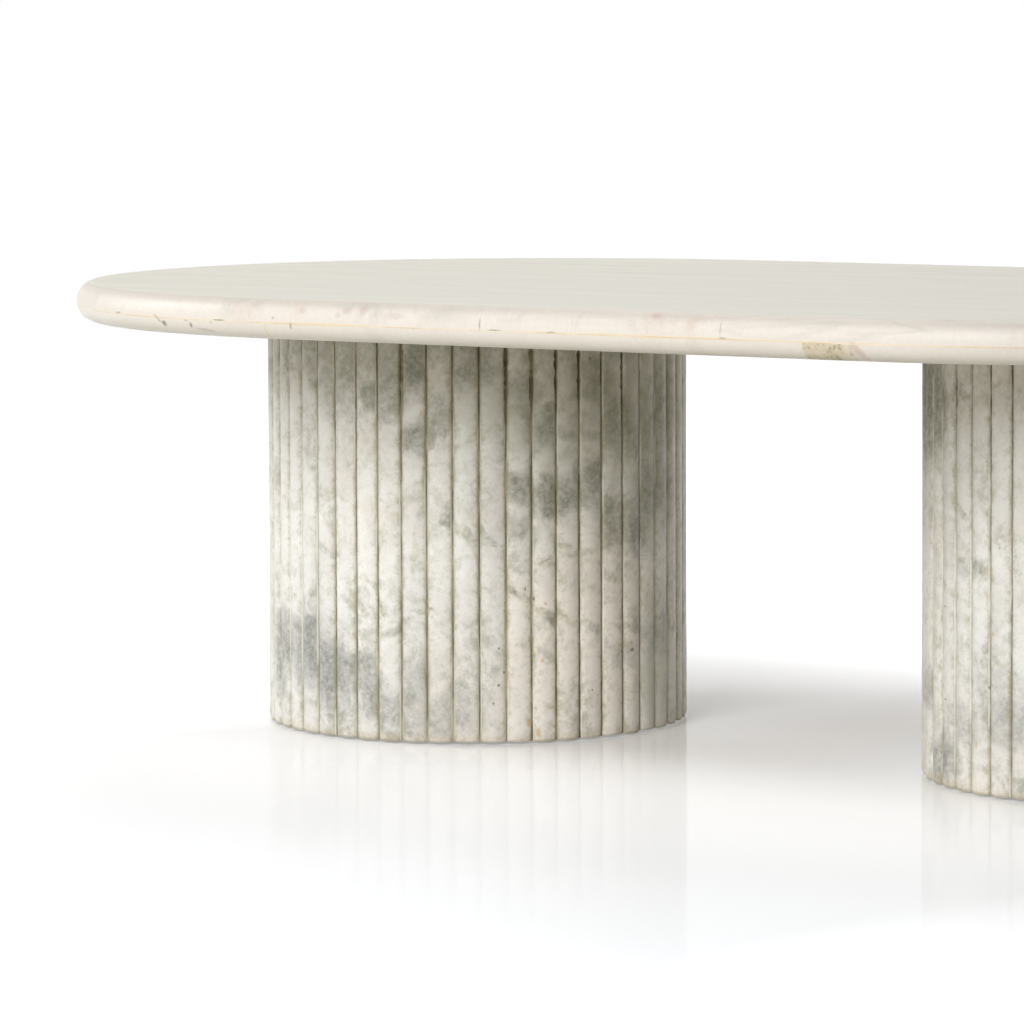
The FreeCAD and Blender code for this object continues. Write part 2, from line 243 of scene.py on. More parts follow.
# Marks in the stone of each drum: degrees round it, height, half length and half width in mm,
# tilt in degrees, strength
# Grey-green clouds in the stone. They are partly painted shade: the long, wide marks high on the left
# drum, under the top's overhang, stand in for its shade.
CLOUD_AND_SHADE_MARKS = {
    "left": [
        (-122, 82, 34, 40, 0, 0.9), (-108, 76, 48, 48, 0, 1.0), (-100, 66, 36, 40, 0, 0.95),
        (-90, 62, 40, 28, 10, 0.75), (-86, 40, 40, 30, 0, 0.75), (-73, 62, 24, 32, 0, 0.5),
        (-124, 56, 30, 36, 0, 0.75), (-97, 40, 26, 26, 0, 0.65),
        (-78, 26, 46, 24, 0, 0.5), (-64, 22, 46, 28, 0, 0.6), (-60, 42, 20, 16, 0, 0.45),
        (-73.5, 378, 22, 40, 0, 1.0), (-59, 372, 24, 46, 0, 0.8), (-80, 352, 22, 34, 0, 0.75),
        (-73, 302, 22, 22, 0, 0.8), (-67, 314, 26, 34, 0, 0.65), (-86.5, 332, 20, 22, 0, 0.7),
        (-107, 348, 16, 20, 0, 0.6), (-112, 388, 50, 42, 0, 0.45), (-96, 345, 28, 44, 0, 0.5),
        (-75, 392, 170, 40, 0, 0.55),
        (-45, 246, 20, 19, 0, 0.9), (-38, 250, 19, 27, 0, 1.0), (-31.5, 232, 24, 23, 12, 1.0),
        (-24, 250, 20, 20, 0, 0.9), (-17, 218, 18, 36, 0, 1.0), (-8, 205, 28, 36, 0, 1.0),
        (-45, 211, 18, 17, 0, 0.55), (-38, 318, 24, 28, 0, 0.75), (-28, 292, 38, 9, 15, 0.55),
        (-15, 315, 20, 38, 0, 0.75), (5, 315, 44, 66, 0, 0.7), (6, 240, 30, 60, 0, 0.6),
        (-21, 352, 34, 36, 0, 0.7), (-44, 350, 26, 30, 0, 0.6), (-30, 384, 130, 36, 0, 0.45),
        (-28, 238, 105, 26, 14, 0.6), (-3, 245, 34, 46, 0, 0.8), (-6, 302, 80, 38, 0, 0.5),
        (-6, 112, 26, 16, 0, 0.5), (4, 95, 26, 30, 0, 0.5), (-13, 86, 20, 20, 0, 0.4),
        (-145, 250, 12, 24, 0, 0.5), (-50, 268, 20, 17, 0, 0.4), (-128, 240, 22, 18, 0, 0.4),
        (48, 120, 60, 34, 16, 0.7), (76, 84, 44, 36, 0, 0.85), (64, 330, 56, 60, 0, 0.75),
        (104, 300, 70, 30, 18, 0.7), (122, 258, 34, 36, 0, 0.85), (150, 60, 60, 40, -10, 0.75),
        (168, 330, 40, 60, 0, 0.7), (92, 190, 40, 16, 20, 0.45),
    ],
    "right": [
        (-144, 352, 50, 74, 0, 1.0), (-133, 356, 28, 66, 0, 1.0), (-127, 342, 22, 52, 0, 0.9),
        (-128, 28, 40, 38, 20, 0.85), (-140, 84, 30, 30, 0, 0.6),
        (-101, 72, 50, 28, 0, 0.6), (-112, 205, 40, 14, -6, 0.45), (-116, 58, 36, 26, 0, 0.5),
        (-72, 338, 44, 58, 0, 0.8), (-55, 300, 50, 32, 16, 0.75), (-78, 96, 50, 30, 10, 0.6),
        (-44, 232, 44, 30, 14, 0.85), (-26, 214, 34, 40, 0, 0.8), (-20, 62, 56, 34, 0, 0.6),
        (14, 318, 60, 54, 0, 0.7), (34, 110, 50, 36, 12, 0.8), (66, 240, 60, 30, 18, 0.75),
        (88, 210, 36, 42, 0, 0.8), (112, 72, 60, 36, 0, 0.75), (146, 300, 60, 40, 14, 0.7),
    ],
}
VEIN_MARKS = {
    "left": [
        (-71.5, 250, 44, 6, 90, 0.55), (-73, 190, 30, 4, 96, 0.45), (-48, 150, 26, 5, 42, 0.9),
        (-36, 126, 40, 7, 22, 0.8), (-24, 108, 28, 6, 26, 0.6), (-33, 184, 52, 8, 10, 0.7),
        (-35, 46, 20, 5, 14, 0.75),
        (-86, 142, 28, 4, 40, 0.75), (-79, 118, 24, 6, -18, 0.65), (-71, 128, 20, 4, 14, 0.8),
        (-10, 110, 26, 6, 20, 0.5), (-60, 205, 40, 6, 34, 0.6), (-100, 190, 36, 4, 28, 0.45),
        (-42, 96, 20, 5, 6, 0.5), (-64, 228, 24, 5, 50, 0.45), (-18, 160, 36, 5, 16, 0.5),
        (-92, 128, 20, 4, 34, 0.45), (70, 180, 60, 6, 22, 0.6), (100, 120, 50, 6, 14, 0.6),
        (130, 160, 56, 6, 30, 0.55), (30, 200, 44, 5, 26, 0.5),
    ],
    "right": [
        (-110, 206, 46, 6, 10, 0.6), (-122, 180, 30, 5, 24, 0.5), (-104, 128, 30, 5, 18, 0.5),
        (-118, 250, 34, 5, 40, 0.45), (-66, 170, 60, 6, 20, 0.7), (-36, 140, 50, 6, 26, 0.65),
        (-10, 190, 44, 5, 12, 0.5), (60, 130, 60, 6, 24, 0.6), (104, 170, 50, 6, 30, 0.55),
    ],
}
# Painted shade: a grey-green veil under the top's overhang and down the shaded right side of the left
# drum, and under the overhang on the right drum.
SHADE_VEIL_MARKS = {
    "left": [
        (-6, 345, 140, 125, 0, 0.55), (-84, 394, 220, 48, 0, 0.3), (-46, 318, 70, 46, 10, 0.4),
        (-32, 288, 60, 34, 14, 0.35), (0, 240, 44, 64, 0, 0.5), (2, 70, 34, 90, 0, 0.5),
    ],
    "right": [(-140, 385, 60, 40, 0, 0.3)],
}
# A paler warm patch low on the front of each drum: partly the stone's own warmth, partly painted light
# where the front is lit.
WARM_AND_LIT_MARKS = {
    "left": [(-26, 90, 130, 135, 0, 0.85), (-48, 30, 120, 44, 0, 0.5)],
    "right": [(-110, 40, 120, 50, 0, 0.4)],
}
RUST_MARKS = {
    "left": [
        (-39, 144, 2.0, 2.0, 0, 0.8), (-40, 89, 2.8, 2.6, 0, 0.65), (-35.3, 81.5, 2.0, 2.6, 0, 0.7),
        (-41, 18.5, 2.8, 5.6, 0, 0.8), (-32, 21, 2.4, 2.6, 0, 0.6), (-7.5, 18, 2.6, 5.0, 0, 0.6),
        (-36.4, 23.6, 2.0, 2.4, 0, 0.8), (-12, 94, 2.4, 2.6, 0, 0.8),
    ],
    "right": [(-112, 46, 2.4, 4.0, 0, 0.6), (-104, 150, 2.0, 2.0, 0, 0.6)],
}
PIT_MARKS = {
    "left": [
        (-49.6, 77, 2.0, 3.6, 0, 1.0), (-52.5, 86, 1.5, 1.5, 0, 0.9), (-51.3, 63, 1.6, 1.6, 0, 0.9),
        (-52.5, 50, 1.7, 1.7, 0, 0.9), (-54, 32, 1.3, 1.5, 0, 0.8), (-11.5, 87, 3.2, 2.0, 0, 0.9),
        (-42, 149, 1.4, 1.8, 0, 0.8),
    ],
    "right": [(-108, 98, 1.6, 2.0, 0, 0.8)],
}

# Colours of the drums' stone, its stains and its marks. The veil colour is painted shade, the warm
# colour partly painted light, and the dirt colour also paints shade toward the reeds' joints
CREAM = (0.835, 0.81, 0.785)
PALE = (0.905, 0.895, 0.865)
BLUSH = (0.79, 0.735, 0.675)
SHADE = (0.52, 0.51, 0.44)
GREY = (0.17, 0.175, 0.165)
OLIVE = (0.17, 0.175, 0.12)
MOSS = (0.46, 0.45, 0.26)
SHADE_VEIL = (0.47, 0.49, 0.41)
WARM_AND_LIT = (0.89, 0.825, 0.765)
DIRT_AND_SHADE = (0.30, 0.265, 0.175)
TAN = (0.55, 0.43, 0.28)
RUST = (0.60, 0.37, 0.11)
PIT = (0.07, 0.065, 0.055)

# Noises of the drums' stone: scale, detail and, where it isn't the usual one, roughness
GRAIN = (330.0, 5.0, 0.75)
MOTTLE = (75.0, 5.0, 0.64)
PATCHES = (26.0, 5.0, 0.6)
BLUSHES = (11.0, 3.0)
PALE_AREAS = (24.0, 5.0, 0.6)
PALE_SHIFT = (3.1, 0.4, 1.7)
MOULD = (170.0, 5.0, 0.72)
DRIFT = (7.0, 4.0, 0.55)
SPECKLE = (210.0, 4.0, 0.7)
THREADS = (9.0, 3.0, 0.5)
THREAD_AREAS = (8.0, 2.0)
VEIN_HUES = (40.0, 3.0)
VEIN_CORES = (42.0, 3.0, 0.5)
FLECK_AREAS = (15.0, 3.0)
ARRIS_HIGHLIGHT_AREAS = (13.0, 3.0)
# How far each kind of mark is pushed about: scale, amount in metres
SOFT_WARP = (14.0, 0.026)
ROUGH_WARP = (60.0, 0.010)
RAGGED_WARP = (38.0, 0.015)
SPOT_WARP = (240.0, 0.0045)
# Scattered spots to the metre
RUST_SPOTS = 34.0
PIT_SPOTS = 60.0
# Heights above the drum's foot: clouds turn from grey to olive, tan stain, a dark line along the foot
OLIVE_RISE = (0.10, 0.22)
FOOT_STAIN = (0.014, 0.0)
FOOT_DARK_LINE = (0.004, 0.0005)
REED_RELIEF = 0.0003


def strongest_mark(g, place, marks, scale):
    """Strongest of a list of marks. Scale turns a mark's first number into metres along the face."""
    total = None
    for along, height, half_length, half_height, tilt, strength in marks:
        centre = (along * scale, height * MM)
        half_sizes = (half_length * MM, half_height * MM)
        shape = g.ellipse(place, centre, half_sizes, math.radians(tilt), strength)
        total = shape if total is None else g.math("MAXIMUM", total, shape)
    return total


def reed_marble(side, radius, bottom):
    """Honed white marble, clouded and veined in grey-green, stained along its joints and foot. Painted
    shade darkens it under the top, on its shaded side and partly toward the joints, painted highlights
    lie along the arrises, and a warm patch low on the front is partly painted light.
    """
    g = Graph("marble_reed_" + side)

    def marked(where, marks):
        return strongest_mark(g, where, marks[side], math.radians(1) * radius)

    place = g.attribute("stone")
    joint = g.attribute("joint", "Fac")
    own_tone = g.attribute("tone", "Fac")
    height = g.split(place)[2]
    soft = g.warp(place, *SOFT_WARP)
    rough = g.warp(soft, *ROUGH_WARP)
    ragged = g.warp(soft, *RAGGED_WARP)
    grain = g.noise(place, *GRAIN)
    mottle = g.noise(soft, *MOTTLE)
    patchy = g.noise(soft, *PATCHES)

    blush = g.step(g.noise(place, *BLUSHES), 0.44, 0.66)
    pale = g.step(g.noise(g.vector("ADD", soft, PALE_SHIFT), *PALE_AREAS), 0.42, 0.66)
    colour = g.mix(g.times(blush, 0.6), CREAM, BLUSH)
    colour = g.mix(g.times(pale, 0.7), colour, PALE)
    shade = g.times(g.step(patchy, 0.42, 0.70), g.step(mottle, 0.36, 0.66))
    # Partly painted light: a paler warm patch low on the lit front.
    colour = g.mix(marked(soft, WARM_AND_LIT_MARKS), colour, WARM_AND_LIT)
    colour = g.mix(g.times(shade, 0.95), colour, SHADE)
    # Painted shade: the veil darkens the stone under the top and on the left drum's shaded side.
    colour = g.mix(marked(soft, SHADE_VEIL_MARKS), colour, SHADE_VEIL)

    mould = g.step(g.noise(place, *MOULD), 0.47, 0.63)
    colour = g.mix(g.times(mould, g.step(patchy, 0.36, 0.62, 0.10, 0.36)), colour, SHADE)

    drift = g.times(g.step(g.noise(soft, *DRIFT), 0.52, 0.76), 0.45)
    # Clouds, partly painted shade: the marks high on the left drum stand in for shade under the top.
    cloud_and_shade = g.math("MAXIMUM", drift, marked(ragged, CLOUD_AND_SHADE_MARKS))
    speckle = g.step(g.noise(place, *SPECKLE), 0.34, 0.66)
    uneven = g.times(g.math("SUBTRACT", mottle, 0.5), g.step(cloud_and_shade, 0.0, 0.3, 0.0, 1.3))
    cloud_and_shade = g.math("ADD", cloud_and_shade, uneven, clamp=True)
    amount = g.times(cloud_and_shade, g.math("ADD", g.times(speckle, 0.32), 0.51))
    hue = g.step(height, *OLIVE_RISE)
    colour = g.mix(amount, colour, g.mix(hue, GREY, OLIVE))

    ridge = g.gap(g.noise(place, *THREADS), 0.5)
    thread = g.times(g.step(ridge, 0.03, 0.0), g.step(g.noise(place, *THREAD_AREAS), 0.48, 0.7))
    vein = g.math("MAXIMUM", g.times(thread, 0.3), marked(rough, VEIN_MARKS))
    broken = g.times(g.step(mottle, 0.34, 0.6, 0.25, 0.8), g.step(speckle, 0.0, 1.0, 0.6, 1.1))
    vein = g.times(vein, broken, clamp=True)
    colour = g.mix(vein, colour, g.mix(g.step(g.noise(place, *VEIN_HUES), 0.4, 0.6), OLIVE, MOSS))
    core = g.gap(g.noise(rough, *VEIN_CORES), 0.5)
    core = g.times(g.step(core, 0.05, 0.0), g.step(vein, 0.1, 0.4))
    colour = g.mix(g.times(core, 0.3), colour, OLIVE)

    fleck = g.times(g.step(grain, 0.60, 0.72), g.step(g.noise(place, *FLECK_AREAS), 0.48, 0.66))
    colour = g.mix(g.times(fleck, 0.6), colour, DIRT_AND_SHADE)
    crystal = g.times(g.step(grain, 0.36, 0.26), g.step(speckle, 0.5, 0.9))
    colour = g.mix(g.times(crystal, 0.55), colour, PALE)
    colour = tinted(g, colour, g.times(g.step(grain, 0.25, 0.75, 0.945, 1.045), own_tone))

    lift = g.math("SUBTRACT", g.split(g.object_place())[2], bottom)
    foot = g.times(g.step(lift, *FOOT_STAIN), g.step(mottle, 0.35, 0.65, 0.3, 1.0))
    colour = g.mix(g.times(foot, 0.5), colour, TAN)
    # Darker along the very foot of each reed.
    colour = g.mix(g.step(lift, *FOOT_DARK_LINE, 0.0, 0.6), colour, DIRT_AND_SHADE)
    # Toward each joint: an olive stain and a darker band, partly stain and partly painted shade in the
    # crease between the reeds.
    edge = g.math("ADD", joint, g.step(mottle, 0.3, 0.7, -0.08, 0.08))
    stain = g.times(g.step(edge, 0.30, 1.0, 0.0, 0.45), g.step(mould, 0.1, 0.9, 0.25, 1.0))
    colour = g.mix(stain, colour, MOSS)
    colour = g.mix(g.step(edge, 0.74, 1.05, 0.0, 0.5), colour, DIRT_AND_SHADE)

    # Painted highlight: pale lines along the reeds' arrises, in patches, stand in for light caught on
    # their shoulders.
    worn = g.times(g.step(joint, 0.86, 0.93), g.step(joint, 0.995, 0.96))
    worn = g.times(worn, g.step(g.noise(place, *ARRIS_HIGHLIGHT_AREAS), 0.44, 0.58))
    colour = g.mix(g.times(worn, 0.6), colour, PALE)

    spotty = g.warp(place, *SPOT_WARP)
    distance, own = g.cells(rough, RUST_SPOTS)
    spot = g.times(g.step(distance, 0.09, 0.03), g.step(g.split(own)[0], 0.78, 0.81))
    spot = g.math("MAXIMUM", g.times(spot, 0.7), marked(spotty, RUST_MARKS))
    colour = g.mix(g.times(spot, 0.75), colour, RUST)
    pit_distance, pit_own = g.cells(place, PIT_SPOTS)
    pit = g.times(g.step(pit_distance, 0.085, 0.03), g.step(g.split(pit_own)[1], 0.93, 0.94))
    pit = g.math("MAXIMUM", pit, marked(spotty, PIT_MARKS))
    colour = g.mix(g.times(pit, 0.75), colour, PIT)

    relief = g.math("ADD", g.times(grain, 0.35), mottle)
    relief = g.math("SUBTRACT", relief, g.times(pit, 3.0))
    roughness = g.step(mottle, 0.2, 0.8, 0.36, 0.52)
    roughness = g.math("SUBTRACT", roughness, g.step(joint, 0.7, 0.92, 0.0, 0.16))
    g.principled(
        Base_Color=colour,
        Roughness=roughness,
        Specular_IOR_Level=0.4,
        Normal=g.bump(relief, REED_RELIEF),
    )
    return g.material


def tinted(g, colour, factor):
    """Colour times a grey factor."""
    grey = g.node("ShaderNodeCombineXYZ")
    for socket in grey.inputs:
        g.put(socket, factor)
    return g.mix(1.0, colour, grey.outputs[0], "MULTIPLY")


# Colours of the top
TOP_CREAM = (0.79, 0.728, 0.667)
TOP_ARRIS_SHADE = (0.68, 0.622, 0.553)
TOP_FACE = (0.715, 0.695, 0.61)
TOP_PALE = (0.76, 0.74, 0.66)
TOP_BLUSH = (0.66, 0.53, 0.455)
TOP_GREY = (0.52, 0.49, 0.44)
SEAM_TAN = (0.80, 0.65, 0.44)
INCLUSION = (0.64, 0.54, 0.38)
EDGE_PINK = (0.58, 0.43, 0.40)
EDGE_BROWN = (0.25, 0.215, 0.165)
# Marks on the front of the edge: x, height, half length, half height in mm, tilt in degrees, strength
EDGE_STAINS = [
    (-437, 418.5, 4.5, 3.5, 20, 0.9), (-446, 422.5, 9, 1.2, 32, 0.6), (-398, 418.5, 2.5, 3, 0, 0.8),
    (-404, 422.5, 4, 1.0, 10, 0.5), (-516, 425, 5, 1.1, 0, 0.8), (-360, 424.5, 9, 1.0, 0, 0.8),
    (-380, 414.5, 16, 1.5, 4, 0.35), (-66, 429.5, 1.2, 6, 0, 0.6), (-50, 424.5, 9, 0.9, 0, 0.7),
    (10, 424.5, 6, 0.9, 0, 0.6), (187, 424.8, 5, 1.0, 0, 0.6), (184.5, 433, 1.0, 8, 0, 0.35),
    (-275, 422, 1.6, 4, 0, 0.6), (-295, 429, 2, 1.2, 0, 0.5),
]
EDGE_BLUSHES = [
    (-212, 437, 6, 4, 0, 0.4), (-195, 438, 5, 6, 0, 0.45), (-222, 433, 4, 3, 0, 0.35),
    (116, 442, 6, 3, 0, 0.5), (320, 418, 12, 4.5, 48, 0.6), (-262, 436, 5, 3, 0, 0.35),
    (-160, 434, 14, 4, 0, 0.3),
]
INCLUSION_MARKS = [(288, 416, 44, 22, 0, 1.0)]
# The dark inclusion begins at a butt joint and ends raggedly, along x
INCLUSION_START = (0.2655, 0.2662)
INCLUSION_END = (0.322, 0.308)
# The marks lie on the front of the edge alone, by y
FRONT_FADE = (-0.20, -0.22)
# Heights between which the colour of the arris and of the edge, the smudges and the gloss change; the
# arris colour is a painted band of shade
ARRIS_SHADE_FADE = (0.4458, 0.4449)
CREAM_FADE = (0.4445, 0.436)
RIM_FADE = (0.4457, 0.4435)
FACE_FADE = (0.443, 0.4458)
# Noises of the top: scale, detail and, where it isn't the usual one, roughness
TOP_STREAKS = (28.0, 6.0, 0.6)
TOP_GRAIN = (260.0, 4.0, 0.7)
TOP_MOTTLE = (70.0, 5.0, 0.65)
TOP_THREADS = (17.0, 4.0, 0.6)
TOP_THREAD_AREAS = (6.0, 2.0)
TOP_THREAD_SHIFT = (0.0, 4.3, 0.0)
SMUDGES = (34.0, 5.0, 0.65)
SMUDGE_AREAS = (7.0, 2.0)
PINK_AREAS = (16.0, 2.0)
BLEED_WIDTHS = (12.0, 4.0, 0.7)
BLEED_STRENGTHS = (5.0, 4.0, 0.65)
# How far each kind of mark is pushed about: scale, amount in metres
STREAK_WARP = (5.0, 0.05)
INCLUSION_WARP = (120.0, 0.008)
SMUDGE_WARP = (50.0, 0.01)
EDGE_WARP = (260.0, 0.0024)
# The streaks run along the top, and the smudges up its edge
STREAK_STRETCH = (0.14, 1.0, 1.0)
SMUDGE_STRETCH = (1.0, 1.0, 0.35)
SEAM_FLECKS = 38.0
TOP_RELIEF = 0.00005


def edge_marks(g, place, marks):
    """Strongest of a list of marks on the front of the edge."""
    return g.times(strongest_mark(g, place, marks, MM), g.step(g.split(place)[1], *FRONT_FADE))


def top_marble(seam_height, butt_joint):
    """Polished cream marble with faint streaks, blushes at the rim and flecks along the resin seam."""
    g = Graph("marble_top")
    place = g.object_place()
    height = g.split(place)[2]
    stretched = g.vector("MULTIPLY", place, STREAK_STRETCH)
    veined = g.warp(stretched, *STREAK_WARP)
    rough = g.warp(place, *INCLUSION_WARP)
    streak = g.noise(veined, *TOP_STREAKS)
    fine = g.noise(place, *TOP_GRAIN)
    mottle = g.noise(place, *TOP_MOTTLE)
    colour = g.mix(g.step(streak, 0.35, 0.7), TOP_FACE, TOP_PALE)
    # Painted shade: a darker band where the face turns into the rounded edge.
    colour = g.mix(g.step(height, *ARRIS_SHADE_FADE), colour, TOP_ARRIS_SHADE)
    colour = g.mix(g.step(height, *CREAM_FADE), colour, TOP_CREAM)
    ridge = g.gap(g.noise(g.vector("ADD", veined, TOP_THREAD_SHIFT), *TOP_THREADS), 0.5)
    thread = g.times(g.step(ridge, 0.035, 0.0), g.step(g.noise(veined, *TOP_THREAD_AREAS), 0.45, 0.65))
    colour = g.mix(g.times(thread, 0.35), colour, TOP_GREY)

    tall = g.vector("MULTIPLY", place, SMUDGE_STRETCH)
    smudge = g.step(g.noise(g.warp(tall, *SMUDGE_WARP), *SMUDGES), 0.48, 0.70)
    region = g.step(g.noise(place, *SMUDGE_AREAS), 0.38, 0.60)
    rim = g.step(height, seam_height + 0.003, seam_height + 0.012, 0.35, 1.0)
    rim = g.times(rim, g.step(height, *RIM_FADE))
    smudge = g.times(g.times(smudge, region), g.times(rim, 0.6))
    pink = g.step(g.noise(place, *PINK_AREAS), 0.42, 0.58)
    colour = g.mix(smudge, colour, g.mix(pink, TOP_GREY, TOP_BLUSH))
    colour = tinted(g, colour, g.step(fine, 0.25, 0.75, 0.965, 1.025))

    off_seam = g.gap(height, seam_height)
    wide = g.step(g.noise(place, *BLEED_WIDTHS), 0.35, 0.7, 0.0009, 0.0024)
    faint = g.step(g.noise(place, *BLEED_STRENGTHS), 0.38, 0.6, 0.2, 0.85)
    bleed = g.times(g.step(off_seam, wide, 0.0002), faint)
    colour = g.mix(bleed, colour, SEAM_TAN)
    distance, own = g.cells(place, SEAM_FLECKS)
    fleck = g.times(g.step(distance, 0.13, 0.05), g.step(g.split(own)[0], 0.66, 0.70))
    fleck = g.times(fleck, g.step(off_seam, 0.006, 0.001))
    colour = g.mix(g.times(fleck, 0.7), colour, DIRT_AND_SHADE)

    below_seam = g.step(height, seam_height - 0.0005, seam_height - 0.001)
    patch = g.times(edge_marks(g, rough, INCLUSION_MARKS), below_seam)
    patch = g.times(patch, g.step(g.split(place)[0], *INCLUSION_START))
    patch = g.times(patch, g.step(g.split(rough)[0], *INCLUSION_END))
    colour = g.mix(g.times(patch, g.step(mottle, 0.35, 0.6, 0.5, 1.0)), colour, INCLUSION)
    speck = g.times(patch, g.step(fine, 0.50, 0.62))
    speck = g.times(speck, g.step(mottle, 0.4, 0.6))
    ragged = g.warp(place, *EDGE_WARP)
    colour = g.mix(edge_marks(g, ragged, EDGE_BLUSHES), colour, EDGE_PINK)
    stain = g.times(edge_marks(g, ragged, EDGE_STAINS), g.step(fine, 0.3, 0.55, 0.5, 1.0))
    colour = g.mix(g.math("MAXIMUM", g.times(speck, 0.9), stain), colour, EDGE_BROWN)
    butt = g.gap(g.split(ragged)[0], butt_joint)
    butt = g.times(g.step(butt, 0.0016, 0.0003), g.step(height, seam_height, seam_height - 0.001))
    butt = g.times(butt, g.step(g.split(place)[1], *FRONT_FADE))
    colour = g.mix(g.times(butt, 0.85), colour, SEAM_TAN)
    roughness = g.step(streak, 0.3, 0.7, 0.34, 0.42)
    roughness = g.math("ADD", roughness, g.step(height, *FACE_FADE, 0.0, 0.28))
    g.principled(
        Base_Color=colour,
        Roughness=roughness,
        Specular_IOR_Level=0.22,
        Normal=g.bump(fine, TOP_RELIEF),
    )
    return g.material


# Colours of the other materials, darker and paler parts
RESIN_TAN, RESIN_PALE, RESIN_DARK = (0.66, 0.50, 0.29), (0.85, 0.77, 0.61), (0.10, 0.075, 0.05)
GROUT_OLIVE, GROUT_TAN, GROUT_DARK = (0.16, 0.135, 0.08), (0.45, 0.39, 0.27), (0.05, 0.034, 0.018)
BIRCH_PALE, BIRCH_DARK, PLY_LINE = (0.60, 0.44, 0.27), (0.42, 0.28, 0.155), (0.33, 0.21, 0.11)
STEEL_DARK, STEEL_PALE = (0.50, 0.51, 0.52), (0.66, 0.67, 0.68)
NYLON_DARK, NYLON_PALE = (0.018, 0.018, 0.019), (0.04, 0.04, 0.042)
PLY_PITCH = 0.0028
# The joints darken from the first height up, fully so at the second
GROUT_DARK_RISE = (0.27, 0.39)


def resin():
    """Tan stone adhesive, paler and darker along its length."""
    g = Graph("resin")
    place = g.object_place()
    tone = g.noise(place, 22.0, 5.0, 0.7)
    colour = g.mix(g.step(tone, 0.35, 0.65), RESIN_TAN, RESIN_PALE)
    dark = g.step(g.noise(place, 34.0, 4.0, 0.7), 0.64, 0.72)
    colour = g.mix(dark, colour, RESIN_DARK)
    g.finish(colour, tone, (0.3, 0.45), 0.0001)
    return g.material


def grout():
    """Olive-brown joint filler, tan in places and nearly black in patches high up the drums."""
    g = Graph("grout")
    place = g.object_place()
    stretched = g.vector("MULTIPLY", place, (1.0, 1.0, 0.25))
    tone = g.noise(stretched, 60.0, 5.0, 0.7)
    colour = g.mix(g.step(tone, 0.38, 0.62), GROUT_OLIVE, GROUT_TAN)
    darkened = g.step(g.noise(stretched, 24.0, 3.0), 0.42, 0.58)
    darkened = g.times(g.step(g.split(place)[2], *GROUT_DARK_RISE), darkened)
    colour = g.mix(darkened, colour, GROUT_DARK)
    g.finish(colour, tone, (0.7, 0.85), 0.0006)
    return g.material


def plywood():
    """Birch plywood: streaky grain on the faces and thin plies through the thickness."""
    g = Graph("plywood")
    place = g.object_place()
    along = g.vector("MULTIPLY", place, (1.0, 14.0, 1.0))
    grain = g.noise(g.warp(along, 3.0, 0.3), 9.0, 6.0, 0.6)
    plies = g.math("SINE", g.times(g.split(place)[2], 2 * math.pi / PLY_PITCH))
    colour = g.mix(g.step(grain, 0.35, 0.68), BIRCH_PALE, BIRCH_DARK)
    colour = g.mix(g.step(plies, 0.2, 0.9, 0.0, 0.3), colour, PLY_LINE)
    g.finish(colour, grain, (0.55, 0.7), 0.0002)
    return g.material


def plated_steel():
    """Dull plating with faint turning lines."""
    g = Graph("steel")
    place = g.object_place()
    turned = g.vector("MULTIPLY", place, (1.0, 1.0, 12.0))
    tone = g.noise(turned, 160.0, 4.0, 0.6)
    colour = g.mix(g.step(tone, 0.3, 0.7), STEEL_DARK, STEEL_PALE)
    g.finish(colour, tone, (0.28, 0.45), 0.0001, Metallic=1.0)
    return g.material


def nylon():
    """Black moulded plastic with a fine grain."""
    g = Graph("nylon")
    tone = g.noise(g.object_place(), 500.0, 3.0, 0.6)
    colour = g.mix(g.step(tone, 0.3, 0.7), NYLON_DARK, NYLON_PALE)
    g.finish(colour, tone, (0.45, 0.6), 0.0001)
    return g.material


def dress(node, material):
    """Gives a CAD node a finished material."""
    mesh = frame["nodes"][node].data
    mesh.materials.clear()
    mesh.materials.append(material)


